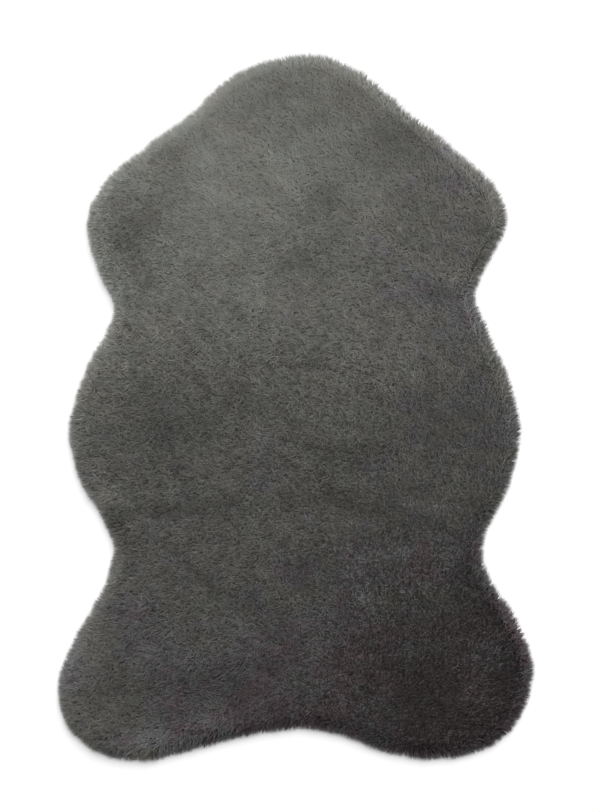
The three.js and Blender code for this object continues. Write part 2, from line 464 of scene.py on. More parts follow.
bed = panel("underfur", BED_INSET + BED_SLACK, BED_BOTTOM, BED_BLANK)
remesh = bed.modifiers.new("remesh", "REMESH")
remesh.mode = "VOXEL"
remesh.voxel_size = BED_CELL * MM
bpy.ops.object.modifier_apply(modifier="remesh")
places = np.empty(len(bed.data.vertices) * 3)
bed.data.vertices.foreach_get("co", places)
places = places.reshape(-1, 3)
depth, nearest = depth_inside(places[:, :2])
upper = places[:, 2] > UPPER_FACE * MM
shift = np.clip((BED_INSET + BED_SLACK) * MM - depth, 0, None)
places[:, :2] -= outward[nearest] * shift[:, None]
depth = np.maximum(depth, (BED_INSET + BED_SLACK) * MM)
places[upper, 2] = bed_top(places[upper, :2], depth[upper])
places[~upper, 2] = BED_BOTTOM * MM
bed.data.vertices.foreach_set("co", places.ravel())
bed.data.update()
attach(bed, "root")
lit["rug"].objects.link(bed)
print("underfur", count_triangles(bed), "triangles, top", round(places[:, 2].max() / MM, 1), "mm")

# %% [markdown]
# ## Crimped acrylic
# The mat is fine acrylic staple that was crimped and brushed up, so it scatters light every way and has no
# shine at all. Its colour is a dark grey, darker than the fibres' own: painted shade of the depth of the
# pile, with small paler flecks as painted highlights where tufts of it catch the light.
# A noise of 3 mm flecks drives its colour, its roughness and a low bump.

# %% Mat
FLECK = 3.0

mat, shader = new_material("crimped_acrylic_mat")
place = add_node(mat, "ShaderNodeTexCoord")
flecks = add_node(
    mat, "ShaderNodeTexNoise", Vector=place.outputs["Object"], Scale=1 / (FLECK * MM), Detail=2.0
)
# Dark grey of painted depth shade, with paler flecks as painted highlights.
mat_colour_with_painted_shade = add_node(
    mat,
    "ShaderNodeMix",
    {"data_type": "RGBA"},
    Factor=flecks.outputs["Fac"],
    i6=linear("#53514d"),
    i7=linear("#6f6d68"),
)
dullness = add_node(mat, "ShaderNodeMapRange", Value=flecks.outputs["Fac"], To_Min=1.0, To_Max=0.9)
fluff = add_node(mat, "ShaderNodeBump", Height=flecks.outputs["Fac"], Strength=0.3, Distance=0.5 * MM)
mat.node_tree.links.new(mat_colour_with_painted_shade.outputs[2], shader.inputs["Base Color"])
mat.node_tree.links.new(dullness.outputs["Result"], shader.inputs["Roughness"])
mat.node_tree.links.new(fluff.outputs["Normal"], shader.inputs["Normal"])
shader.inputs["Specular IOR Level"].default_value = 0.0
bed.data.materials.append(mat)
print("mat nodes", len(mat.node_tree.nodes))

# %% [markdown]
# ## Uneven growth
# Nothing about fur is even, but neighbours are alike: colour, gather and lean drift over a few millimetres
# or centimetres. A table of random numbers on a grid, smoothed between its points, gives such drifts at
# any size and the same ones on every run.


# %% Noise
TABLE = 512


def lattice_noise(spots, size_x, size_y, bearing, seed):
    """Smooth noise from -1 to 1 whose blots are size_x by size_y millimetres, turned to a bearing."""
    turn = math.radians(bearing)
    x, y = spots[:, 0] / MM, spots[:, 1] / MM
    u = (x * math.cos(turn) + y * math.sin(turn)) / size_x
    v = (y * math.cos(turn) - x * math.sin(turn)) / size_y
    table = np.random.default_rng(seed).uniform(-1, 1, (TABLE, TABLE))
    column, row = np.floor(u).astype(int), np.floor(v).astype(int)
    s, t = u - column, v - row
    s, t = s * s * (3 - 2 * s), t * t * (3 - 2 * t)
    left, right = column % TABLE, (column + 1) % TABLE
    below, above = row % TABLE, (row + 1) % TABLE
    lower = table[below, left] * (1 - s) + table[below, right] * s
    upper = table[above, left] * (1 - s) + table[above, right] * s
    return lower * (1 - t) + upper * t


print("noise at the rim from", lattice_noise(rim, 20, 16, 0, 61).min().round(2))

# %% [markdown]
# ## Nap
# Plush looks different wherever a hand has stroked it. Hair that lies away from the light shows its bright
# flank, and hair that stands up shows its dark roots. Part of that light and shade is painted into the
# locks' colour by the table's painted_shading column. A groomer works with long strokes, so the field is a
# table of strokes by their place on the sheepskin, and a spot takes the mean of the strokes near it.
# Over the crown the pile lies smooth to the left. Towards the right leg it stands up and is tousled,
# and the dyed grey turns from a greenish to a purplish cast.

# %% Nap
NAP_REACH = 75
MARK_LEAN = 15
# x and y are in mm. heading is where the tips point, in degrees from the picture's right, and lean is in
# degrees from upright. rough is how tousled the hair is, painted_shading its share of the plain colour,
# which is painted light and painted shade of the brushed nap, and warm goes from 0 for green-grey to 1 for
# purple-grey.
NAP_COLUMNS = ("at", "x", "y", "heading", "lean", "rough", "painted_shading", "warm")
NAP = [
    ("crown", 5, 380, 140, 54, 0.4, 0.95, 0.12),
    ("bonnet_left", -90, 280, 165, 62, 0.4, 1.03, 0.10),
    ("bonnet_right", 90, 290, 155, 56, 0.5, 1.02, 0.15),
    ("shoulder_left", -210, 230, 172, 58, 1.0, 0.97, 0.12),
    ("shoulder_right", 200, 240, 135, 48, 0.8, 1.00, 0.42),
    ("breast_left", -130, 150, 178, 64, 0.9, 1.00, 0.15),
    ("breast", 20, 150, 175, 60, 0.8, 1.03, 0.20),
    ("breast_right", 150, 150, 165, 54, 0.9, 1.00, 0.42),
    ("flank_left", -220, 20, 170, 58, 1.2, 1.00, 0.20),
    ("belly_left", -100, 30, 168, 60, 1.3, 0.93, 0.28),
    ("belly", 60, 20, 150, 56, 1.2, 0.98, 0.28),
    ("flank_right", 220, 0, 135, 50, 1.0, 0.95, 0.46),
    ("loin_left", -150, -110, 172, 58, 1.2, 0.90, 0.32),
    ("loin", 20, -110, 168, 54, 1.2, 0.94, 0.42),
    ("loin_right", 170, -110, 130, 46, 1.1, 0.97, 0.45),
    ("rump_left", -120, -230, 170, 56, 1.1, 0.96, 0.42),
    ("rump", 20, -230, 145, 50, 1.2, 0.97, 0.52),
    ("rump_right", 150, -240, 110, 38, 1.8, 1.00, 0.68),
    ("leg_left", -220, -340, 180, 60, 1.1, 0.95, 0.50),
    ("leg_right", 220, -340, 60, 32, 2.4, 1.00, 0.95),
    ("tail_left", -80, -350, 190, 55, 1.2, 0.93, 0.74),
    ("tail_right", 90, -350, 120, 42, 1.6, 1.00, 0.86),
]
strokes = [dict(zip(NAP_COLUMNS, values)) for values in NAP]


def nap(spots):
    """The brushed field at each spot: a unit direction, and the other columns of the table."""
    field = {"lean": 0.0, "rough": 0.0, "painted_shading": 0.0, "warm": 0.0}
    direction = np.zeros((len(spots), 2))
    total = np.full(len(spots), 1e-9)
    for stroke in strokes:
        away = (spots - np.array([stroke["x"], stroke["y"]]) * MM) / (NAP_REACH * MM)
        weight = np.exp(-(away**2).sum(axis=1))
        turn = math.radians(stroke["heading"])
        direction += weight[:, None] * np.array([math.cos(turn), math.sin(turn)])
        total += weight
        for name in field:
            field[name] = field[name] + weight * stroke[name]
    field = {name: value / total for name, value in field.items()}
    field["direction"] = direction / (np.linalg.norm(direction, axis=1)[:, None] + 1e-9)
    mark = marked(spots)
    # The marks' painted light and shade go into the colour, and their lean goes into the locks.
    field["painted_shading"] = field["painted_shading"] * mark
    field["lean"] = np.radians(field["lean"] + MARK_LEAN * (mark - 1))
    return field


print("strokes in the nap:", len(strokes))

# %% [markdown]
# ## Brush marks, painted as light and shade
# On the long strokes lie small marks: partings where two strokes meet, furrows, ridges of hair pushed up,
# and hair that was flattened at the rim. A mark is an oval that fades out all round. It makes the hair
# flatter or more upright, and its lighter or darker colour is painted light and painted shade, because the
# lean alone shows too little of it under these lamps. Each is named for where it lies, and was set until
# the render's lights and darks agreed with the photo's.

# %% Brush marks
# x, y, half length and half width are in mm, the bearing in degrees, and painted_shading, the mark's
# painted light or shade, is 1 where nothing changes.
MARK_COLUMNS = ("at", "x", "y", "long", "wide", "bearing", "painted_shading")
MARKS = [
    ("crown", 0, 390, 110, 55, 0, 0.92),
    ("crown_right", 132, 331, 36, 30, 0, 0.70),
    ("brow_left", -146, 319, 28, 22, 30, 0.78),
    ("cheek_left", -158, 256, 22, 20, 0, 0.80),
    ("neck_left", -208, 212, 46, 26, -65, 0.68),
    ("bay_left", -221, 148, 18, 14, 0, 1.20),
    ("throat_right", 40, 260, 28, 30, 0, 0.76),
    ("throat_low", 24, 186, 20, 16, 0, 0.78),
    ("cheek_right", 94, 243, 30, 22, 20, 1.10),
    ("collar", -45, 136, 26, 32, 0, 1.12),
    ("bay_right", 182, 143, 34, 14, 0, 0.82),
    ("chest_left", -171, 104, 34, 22, 0, 1.10),
    ("chest_right", 113, 60, 52, 34, 0, 1.24),
    ("parting_small", 25, 50, 36, 9, -5, 0.82),
    ("parting_chest", -70, 22, 18, 26, 20, 0.82),
    ("flank_left", -171, -22, 78, 52, 0, 0.73),
    ("flank_right", 190, -20, 75, 34, 0, 0.88),
    ("navel", -1, -28, 15, 22, 0, 0.84),
    ("belly_low", 75, -60, 56, 14, 5, 0.80),
    ("ridge_left", -230, -114, 24, 14, 0, 1.65),
    ("ridge_middle", -110, -98, 60, 10, 8, 1.08),
    ("parting_edge", -228, -142, 20, 18, 0, 0.68),
    ("parting_left", -155, -130, 50, 11, -5, 0.66),
    ("parting_middle", -80, -122, 55, 10, 0, 0.78),
    ("parting_belly", 40, -115, 60, 10, 4, 0.82),
    ("parting_right", 95, -128, 40, 9, -8, 0.78),
    ("parting_end", 158, -147, 50, 9, -16, 0.80),
    ("ridge_right", 155, -121, 48, 8, -16, 1.18),
    ("hip_upper", 120, -185, 32, 14, 10, 1.25),
    ("hip_right", 165, -217, 50, 24, 20, 1.18),
    ("hip_middle", 88, -240, 16, 28, 0, 1.20),
    ("hip_edge", 208, -218, 18, 30, 0, 0.80),
    ("furrow_left", -128, -202, 50, 6, -42, 0.74),
    ("furrow_middle", 18, -211, 24, 30, 0, 0.82),
    ("furrow_low", -25, -280, 50, 16, -42, 0.86),
    ("rump_left", -51, -287, 26, 18, 0, 1.10),
    ("rump_middle", 31, -293, 15, 26, 0, 1.16),
    ("thigh_left", -120, -268, 50, 20, 0, 1.08),
    ("hollow_left", -150, -357, 70, 11, 0, 0.86),
    ("hollow_right", 132, -325, 50, 10, 0, 0.86),
    ("leg_right", 165, -375, 62, 48, 0, 0.76),
    ("hem_right", 175, -425, 80, 22, 8, 1.04),
    ("leg_right_edge", 262, -350, 12, 50, 0, 0.70),
    ("leg_right_spot", 243, -312, 18, 18, 0, 1.24),
    ("notch", 35, -398, 62, 12, 0, 0.90),
    ("hem_middle", 31, -380, 50, 9, 0, 1.12),
    ("hem_left", -95, -391, 42, 11, 8, 1.36),
    ("leg_left_toe", -180, -424, 72, 22, 6, 1.85),
    ("leg_left_edge", -280, -360, 20, 50, 0, 1.25),
    ("leg_left_back", -253, -304, 18, 42, -20, 1.25),
    ("rim_right_upper", 235, 285, 22, 60, 40, 1.05),
    ("rim_right_bay", 219, 153, 14, 24, 0, 1.10),
    ("rim_right_side", 248, 75, 11, 55, 18, 1.15),
    ("rim_right_waist", 275, 0, 9, 60, 0, 1.18),
    ("bay_left_low", -184, 125, 26, 10, 0, 0.82),
    ("hip_corner", 246, -250, 16, 28, 0, 0.68),
    ("leg_right_light", 226, -355, 14, 20, 0, 1.25),
    ("leg_left_corner", -265, -405, 30, 28, 0, 1.22),
    ("hem_left_dark", -133, -412, 16, 16, 0, 0.82),
    ("rump_spot", -26, -325, 14, 9, 0, 0.66),
    ("bay_right_inner", 208, 165, 16, 14, 0, 1.25),
    ("shoulder_rim_right", 252, 243, 9, 36, 0, 1.25),
    ("bonnet_light", 15, 290, 58, 25, 0, 1.13),
    ("chest_line", -64, 54, 45, 7, 3, 1.18),
    ("waist_right_rim", 234, -190, 13, 42, 0, 0.74),
    ("furrow_rump", -70, -352, 32, 14, 0, 0.80),
    ("loin_left_low", -192, -172, 26, 20, 0, 0.86),
    ("loin_low", -63, -164, 26, 12, 0, 0.85),
    ("breast_left_light", -158, 88, 22, 14, 0, 1.12),
    ("cheek_left_low", -184, 234, 20, 26, 0, 0.86),
    ("cheek_right_low", 151, 246, 22, 22, 0, 0.82),
    ("furrow_left_low", -85, -226, 40, 13, -42, 0.88),
    ("leg_right_rim", 277, -325, 8, 34, 0, 0.82),
    ("leg_right_toe", 268, -402, 14, 20, 0, 1.30),
    ("side_right_rim", 278, -42, 9, 32, 0, 0.78),
    ("bay_left_rim", -236, 185, 14, 70, 0, 1.08),
    ("chest_streak", -118, 44, 66, 11, 2, 1.10),
    ("flank_left_low", -172, -78, 32, 16, 0, 0.88),
    ("loin_right_high", 135, -112, 50, 10, 0, 0.90),
    ("loin_right_low", 120, -172, 28, 9, -20, 0.86),
    ("breast_low", 20, 165, 50, 11, 0, 0.90),
]
marks = [dict(zip(MARK_COLUMNS, values)) for values in MARKS]


def marked(spots):
    """How much painted light or painted shade the brush marks put into each spot's colour. The same number
    also sets their lean.
    """
    painted_shading = np.ones(len(spots))
    for mark in marks:
        turn = math.radians(mark["bearing"])
        x, y = spots[:, 0] / MM - mark["x"], spots[:, 1] / MM - mark["y"]
        u = (x * math.cos(turn) + y * math.sin(turn)) / mark["long"]
        v = (y * math.cos(turn) - x * math.sin(turn)) / mark["wide"]
        painted_shading *= 1 + (mark["painted_shading"] - 1) * np.exp(-(u**2) - v**2)
    return painted_shading


rim_painted_shading = marked(rim)
print("marks", len(marks), "tone round the rim", rim_painted_shading.min().round(2), "to", rim_painted_shading.max().round(2))

# %% [markdown]
# ## Acrylic pile fibre
# The long fibres are dyed acrylic, extruded, cut and sheared to one height. They are matt with a faint
# bloom. The pile is darker in its depth where little light comes, and that shade is painted into the
# fibres' colour: each lock runs from a dark root to light tips.
# The eye gets a grey that drifts between greenish, warm, bluish and purplish, because dyed lots are mixed.
# Each lock carries its own place in a small palette: u picks the dye and how light it is, with the painted
# light and shade of the nap, the marks and the rim, and v runs from root to tip, through the painted shade
# of the pile's depth. So one material serves every lock, and all that varies is its colour.

# %% Fur colours
HUES = 4
# Dark root to light tip: painted shade of the pile's depth.
PAINTED_DEPTH_GREYS = ["#4e4e4d", "#838382", "#a5a5a4"]
DYES = ["#fcfff8", "#fffbf2", "#fcfdff", "#ffe9f0"]

fur, shader = new_material("acrylic_pile_fibre")
palette = add_node(fur, "ShaderNodeUVMap", {"uv_map": "OFBake"})
axes = add_node(fur, "ShaderNodeSeparateXYZ", Vector=palette.outputs["UV"])
steps = add_node(fur, "ShaderNodeMath", {"operation": "MULTIPLY"}, i0=axes.outputs["X"], i1=float(HUES))
shade_part = add_node(fur, "ShaderNodeMath", {"operation": "FRACT"}, i0=steps.outputs[0])
hue_part = add_node(fur, "ShaderNodeMath", {"operation": "FLOOR"}, i0=steps.outputs[0])
hue = add_node(fur, "ShaderNodeMath", {"operation": "DIVIDE"}, i0=hue_part.outputs[0], i1=float(HUES))
root_to_tip = add_node(fur, "ShaderNodeValToRGB", Fac=axes.outputs["Y"])
dye = add_node(fur, "ShaderNodeValToRGB", Fac=hue.outputs[0])
dye.color_ramp.interpolation = "CONSTANT"
for ramp, colours, last in ((root_to_tip, PAINTED_DEPTH_GREYS, 1.0), (dye, DYES, 1.0 - 1.0 / HUES)):
    stops = ramp.color_ramp.elements
    while len(stops) < len(colours):
        stops.new(1.0)
    for number, colour in enumerate(colours):
        stops[number].position = last * number / (len(colours) - 1)
        stops[number].color = linear(colour)
print("root to tip", PAINTED_DEPTH_GREYS, "dyes", DYES)

# %% Fur shader
BRIGHTEST = 2.0

dyed = add_node(
    fur,
    "ShaderNodeMix",
    {"data_type": "RGBA", "blend_type": "MULTIPLY"},
    i0=1.0,
    i6=root_to_tip.outputs["Color"],
    i7=dye.outputs["Color"],
)
bright = add_node(fur, "ShaderNodeMapRange", Value=shade_part.outputs[0], To_Min=0.0, To_Max=BRIGHTEST)
shaded = add_node(
    fur,
    "ShaderNodeMix",
    {"data_type": "RGBA", "blend_type": "MULTIPLY"},
    i0=1.0,
    i6=dyed.outputs[2],
    i7=bright.outputs["Result"],
)
fur.node_tree.links.new(shaded.outputs[2], shader.inputs["Base Color"])
shader.inputs["Roughness"].default_value = 0.9
shader.inputs["Specular IOR Level"].default_value = 0.2
shader.inputs["Sheen Weight"].default_value = 0.1
shader.inputs["Sheen Roughness"].default_value = 0.5
print("fur nodes", len(fur.node_tree.nodes))

# %% [markdown]
# ## One lock
# A lock is a pinch of fibres that cling together and end in a point. Hair strands of the particle kind
# would be lost in an export, so a lock is a real mesh: a cone with three sides and four faces, which is
# all that shows of something a millimetre and a half wide. It is modelled once, and copied for each root.

# %% Lock
deselect_all()
bpy.ops.mesh.primitive_cone_add(
    vertices=3, radius1=0.5, radius2=0, depth=1, location=(0, 0, 0.5), end_fill_type="NGON"
)
bpy.ops.object.transform_apply(location=True)
lock = bpy.context.object
LOCK_CORNERS = np.array([v.co[:] for v in lock.data.vertices])
LOCK_FACES = [tuple(p.vertices) for p in lock.data.polygons]
bpy.data.objects.remove(lock)
print("lock", LOCK_CORNERS.round(2).tolist(), LOCK_FACES)

# %% [markdown]
# ## Laying the locks
# Each copy is stretched to its own length and width, leans along its own axis, and bends towards its
# tuft's middle, more and more towards the tip. The normals point mostly upwards, as the mean of the many
# fibres in a lock does, and the less so where the pile is tousled. All the locks of a band are one mesh.

# %% Shape of the locks
NEARLY_NOTHING = 1e-12


def unit(vectors):
    """Vectors of length one in the same directions."""
    return vectors / (np.linalg.norm(vectors, axis=1)[:, None] + NEARLY_NOTHING)


def lock_corners(root, axis, bend, length, width, side, third):
    """Where the corners of every lock go. bend pushes the tip sideways, as a share of the length."""
    x, y, t = LOCK_CORNERS[:, 0], LOCK_CORNERS[:, 1], LOCK_CORNERS[:, 2]
    thickness = width[:, None, None]
    reach = length[:, None, None]
    return (
        root[:, None, :]
        + side[:, None, :] * x[None, :, None] * thickness
        + third[:, None, :] * y[None, :, None] * thickness
        + axis[:, None, :] * t[None, :, None] * reach
        + bend[:, None, :] * t[None, :, None] ** 2 * reach
    )


def mesh_of(name, places):
    """One mesh that holds every lock: its corners, and the same four faces for each."""
    count, per = places.shape[:2]
    loops = np.concatenate([np.array(face) for face in LOCK_FACES])
    sizes = np.tile([len(face) for face in LOCK_FACES], count)
    loop_corners = (np.arange(count)[:, None] * per + loops[None, :]).ravel()
    mesh = bpy.data.meshes.new(name)
    mesh.vertices.add(count * per)
    mesh.vertices.foreach_set("co", places.ravel())
    mesh.loops.add(len(loop_corners))
    mesh.loops.foreach_set("vertex_index", loop_corners)
    mesh.polygons.add(len(sizes))
    mesh.polygons.foreach_set("loop_start", np.concatenate([[0], np.cumsum(sizes)[:-1]]))
    mesh.update(calc_edges=True)
    return mesh


print("triangles a lock:", sum(len(face) - 2 for face in LOCK_FACES))

# %% Colour of the locks
PALETTE_WIDTH = 0.0012
PALETTE_EDGE = 0.03


def paint_locks(mesh, root_v, shade, warm):
    """Gives each lock its place in the palette. A lock whose pile is open starts lower down, with more of
    the painted depth shade.
    """
    count = len(shade)
    loops = np.concatenate([np.array(face) for face in LOCK_FACES])
    spread = np.concatenate([np.linspace(-1, 1, len(face)) for face in LOCK_FACES]) * PALETTE_WIDTH
    drawn = np.clip(warm, 0, 0.999) * HUES + rng.uniform(-0.5, 0.5, count)
    level = np.clip(np.floor(drawn), 0, HUES - 1)
    u = ((level + np.clip(shade, 0.02, 0.98)) / HUES)[:, None] + spread[None, :]
    along = root_v[:, None] + (1 - root_v[:, None]) * LOCK_CORNERS[loops, 2][None, :]
    v = PALETTE_EDGE + (1 - 2 * PALETTE_EDGE) * along
    layer = mesh.uv_layers.new(name="OFBake")
    layer.data.foreach_set("uv", np.stack([u, v], axis=2).ravel())


print("palette:", HUES, "dyes across, root to tip upwards")

# %% Lay the locks
LOCK_COLUMNS = ("facing", "root_v", "root", "axis", "bend", "length", "width", "shade", "warm")


def lay_locks(name, locks):
    """Joins one lock for each root into a piece of the rug. locks has a column for each name above."""
    facing, axis = locks["facing"], locks["axis"]
    side = unit(np.cross(axis, rng.normal(0, 1, axis.shape)))
    third = np.cross(axis, side)
    places = lock_corners(
        locks["root"], axis, locks["bend"], locks["length"], locks["width"], side, third
    )
    mesh = mesh_of(name, places)
    paint_locks(mesh, locks["root_v"], locks["shade"], locks["warm"])
    round_out = side[:, None, :] * LOCK_CORNERS[None, :, 0:1]
    round_out = round_out + third[:, None, :] * LOCK_CORNERS[None, :, 1:2]
    normals = unit((round_out * 2 + facing[:, None, :]).reshape(-1, 3))
    mesh.normals_split_custom_set_from_vertices(normals)
    mesh.materials.append(fur)
    piece = bpy.data.objects.new(name, mesh)
    bpy.context.scene.collection.objects.link(piece)
    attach(piece, "root")
    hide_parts("rug")
    lit["rug"].objects.link(piece)
    print(name, len(axis), "locks,", count_triangles(piece), "triangles")


print("a lock needs:", LOCK_COLUMNS)

# %% [markdown]
# ## Tufts
# Fibres stick together in tufts of about 5 mm, and a tuft leans and curls as one. The plane is split into
# cells round scattered centres, one centre to a square of 5 mm, and each lock belongs to the nearest.

# %% Tufts
TUFT_SPACING = 5.0
TUFT_SEED = 7


def tuft_of(spots, seed):
    """The centre and the number of the tuft that each spot belongs to."""
    step = TUFT_SPACING * MM
    row = np.floor(spots[:, 1] / step).astype(int)
    column = np.floor(spots[:, 0] / step).astype(int)
    table = np.random.default_rng(seed).uniform(0.05, 0.95, (TABLE, TABLE, 2))
    best = np.full(len(spots), 1e9)
    centre = np.zeros_like(spots)
    number = np.zeros(len(spots), int)
    for i in (-1, 0, 1):
        for j in (-1, 0, 1):
            r, c = row + i, column + j
            here = (np.stack([c, r], axis=1) + table[r % TABLE, c % TABLE]) * step
            gap = ((here - spots) ** 2).sum(axis=1)
            nearer = gap < best
            best[nearer], centre[nearer] = gap[nearer], here[nearer]
            number[nearer] = ((r % TABLE) * TABLE + c % TABLE)[nearer]
    return centre, number


def per_tuft(seed, tuft):
    """One random number for each tuft, the same for all its locks."""
    return np.random.default_rng(seed).normal(0, 1, TABLE * TABLE)[tuft]


print("tufts along the rim:", len(set(tuft_of(rim, TUFT_SEED)[1])))

# %% [markdown]
# ## Lean and colour at a spot
# Four small rules serve the top and the rim alike. The dye drifts in blots of three sizes. Along the lower
# rim the pile lies in the rug's own shade, and that shade is painted into the locks' colour. A lock's lean
# is held as a flat vector, the way its shadow would fall at noon, because two leans can then be blended and
# turned by plain sums. What is left of the unit length is how far the lock rises.

# %% Lean and colour
BLOTS = [
    {"size_x": 50, "size_y": 35, "seed": 60, "share": 0.18},
    {"size_x": 20, "size_y": 16, "seed": 61, "share": 0.20},
    {"size_x": 8, "size_y": 8, "seed": 62, "share": 0.16},
]
TOWARDS_LIGHT = np.array([0.26, 0.97])
MOST_TILT = 0.91


def warmth(spots, field):
    """How warm the dye is at each spot: the nap's own value with blots on it."""
    warm = field["warm"]
    for blot in BLOTS:
        warm = warm + blot["share"] * lattice_noise(spots, blot["size_x"], blot["size_y"], 0, blot["seed"])
    return warm


def in_shade(normal):
    """1 where the rim faces away from the floor's light, down to 0 at the sides and above. It sets where
    the painted shade goes.
    """
    return np.clip(-(normal * TOWARDS_LIGHT).sum(axis=1), 0, 1)


def turned(vectors, turn):
    """Flat vectors turned by an angle each."""
    x, y = vectors[:, 0], vectors[:, 1]
    return np.stack([x * np.cos(turn) - y * np.sin(turn), x * np.sin(turn) + y * np.cos(turn)], axis=1)


def upright_part(tilt):
    """The tilt cut to what a lock can lean, and the rise that makes it a unit vector."""
    flat = np.linalg.norm(tilt, axis=1)
    tilt = tilt * (np.clip(flat, 0, MOST_TILT) / (flat + NEARLY_NOTHING))[:, None]
    return tilt, np.sqrt(1 - (tilt**2).sum(axis=1))


print("the lower rim is shaded to", in_shade(outward).max().round(2))

# %% [markdown]
# ## Pile of the top: where the locks root
# The machine sets its tufts in even rows. Roots on a grid of triangles, each nudged at random by almost
# half a step, cover the top evenly and show no rows. They go out to 7.5 mm inside the rim, over the
# start of the roll, so that the brushed pile runs on to the edge and no band shows round it.

# %% Roots of the top
PILE_SPACING = 1.54
NUDGE = 0.45
TOP_INSET = 7.5

inside_x = np.arange(low.x, high.x, PILE_SPACING * MM)
inside_y = np.arange(low.y, high.y, PILE_SPACING * MM * math.sqrt(3) / 2)
grid_x, grid_y = np.meshgrid(inside_x, inside_y)
grid_x = grid_x + (np.arange(len(inside_y)) % 2)[:, None] * PILE_SPACING * MM / 2
spots = np.stack([grid_x.ravel(), grid_y.ravel()], axis=1)
spots += rng.uniform(-NUDGE, NUDGE, spots.shape) * PILE_SPACING * MM
depth, nearest = depth_inside(spots)
keep = depth > TOP_INSET * MM
spots, depth, nearest = spots[keep], depth[keep], nearest[keep]
count = len(spots)
print("roots on the top:", count)

# %% [markdown]
# ## Pile of the top: how the locks lean
# Each lock takes the nap's heading and lean, turned at random with its tuft and once more on its own. Near
# the rim it starts to lean out over the edge, as the pile there has nothing beside it to hold it up.

# %% Lean of the top
EDGE = 9
BROW_SHARE = 0.30
LEAN_OUT = math.radians(54)
TUFT_TURN = 26
LOCK_TURN = 38
TUFT_LEAN = 2.0
LOCK_LEAN = 4.5

edge_share = np.clip(1 - (depth / MM - TOP_INSET) / EDGE, 0, 1)
out_share = BROW_SHARE * edge_share
field = nap(spots)
rough = field["rough"]
centre, tuft = tuft_of(spots, TUFT_SEED)
lean_varies = TUFT_LEAN * per_tuft(9, tuft) + rng.normal(0, LOCK_LEAN, count)
lean = field["lean"] + rough * np.radians(lean_varies)
tilt = field["direction"] * (np.sin(lean) * (1 - out_share))[:, None]
tilt += outward[nearest] * (math.sin(LEAN_OUT) * out_share)[:, None]
tilt = turned(tilt, np.radians(TUFT_TURN * per_tuft(8, tuft) + rng.normal(0, LOCK_TURN, count)))
tilt, rise = upright_part(tilt)
top = {"axis": np.column_stack([tilt, rise])}
print("mean lean of the top", round(math.degrees(np.arccos(rise).mean())), "degrees")

# %% [markdown]
# ## Pile of the top: how long and how light the locks are
# Sheared pile is level, so a lock that leans further is longer, and the more tousled it is, the more its
# height varies. Its lightness is the nap's painted light and shade, with a faint painted glow along the rim
# where hair lies thin over the edge and light comes through, painted shade where the rim lies in the rug's
# own shade, a share for its tuft and its own, and two drifts of the size of a finger's stroke.

# %% Size of the top
SHORTEST, LONGEST = 4, 16
HEIGHT_VARIES = 0.4
GATHER = 0.20
ROOT_SINK = 0.6
WIDEST = 1.65
ROUGH_THINS = 0.15

height = (PILE_DEPTH + ROOT_SINK + HEIGHT_VARIES * rough * rng.normal(0, 1, count)) * MM
top["length"] = np.clip(height / rise, SHORTEST * MM, LONGEST * MM)
gather = (centre - spots) * (GATHER * rough / top["length"])[:, None]
top["bend"] = np.column_stack([gather, np.zeros(count)])
top["root"] = np.column_stack([spots, bed_top(spots, depth) - ROOT_SINK * MM])
top["width"] = (WIDEST - ROUGH_THINS * rough) * MM
print("lengths", (np.percentile(top["length"], (5, 50, 95)) / MM).round(1), "mm")

# %% Shade of the top
PAINTED_RIM_GLOW = 0.12
PAINTED_OWN_SHADE = 1.8
PLAIN = 0.5
ROUGH_RANGE = (0.3, 1.7)
TUFT_UNEVEN = 0.09
LOCK_UNEVEN = 0.22
SMOOTH_SOFTNESS, SOFTNESS_RANGE = 1.75, (0.1, 1.4)
SMOOTH_PLACE, PLACE_LOSS, PLACE_RANGE = 0.85, 0.45, (0.05, 0.65)
DRIFT_BEARING = -15
DRIFTS = [
    {"size_x": 12, "size_y": 9, "seed": 12, "share": 0.11},
    {"size_x": 25, "size_y": 16, "seed": 13, "share": 0.08},
]


def softness(rough):
    """How much the normals of smooth pile point up, which evens out its light."""
    return np.clip(SMOOTH_SOFTNESS - rough, *SOFTNESS_RANGE)


def root_place(rough):
    """Where on the palette a lock starts, and so how much painted depth shade its root gets: least on
    smooth pile, most on tousled pile.
    """
    return np.clip(SMOOTH_PLACE - PLACE_LOSS * rough, *PLACE_RANGE)


# Painted light along the rim, which turns to painted shade where the rim faces away from the floor's light.
painted_glow = PAINTED_RIM_GLOW * edge_share * (1 - PAINTED_OWN_SHADE * in_shade(outward[nearest]))
uneven = TUFT_UNEVEN * per_tuft(10, tuft) + LOCK_UNEVEN * rng.normal(0, 1, count)
uneven = np.clip(rough, *ROUGH_RANGE) * uneven
drift = np.zeros(count)
for row in DRIFTS:
    noise = lattice_noise(spots, row["size_x"], row["size_y"], DRIFT_BEARING, row["seed"])
    drift = drift + row["share"] * noise
top["shade"] = PLAIN * field["painted_shading"] * (1 + painted_glow) * (1 + uneven) * (1 + drift)
top["warm"] = warmth(spots, field)
top["facing"] = np.array([[0.0, 0.0, 1.0]]) * softness(rough)[:, None]
top["root_v"] = root_place(rough)
print("shade", top["shade"].mean().round(3), "warmth", top["warm"].mean().round(3))

# %% [markdown]
# ## Pile of the top: bands
# The rug is one pelt, but a mesh of half a million faces is slow to open and to print. So the top is laid
# in five bands from the legs to the crown, each under 200,000 triangles. No seam shows between them,
# because the roots go on across it.

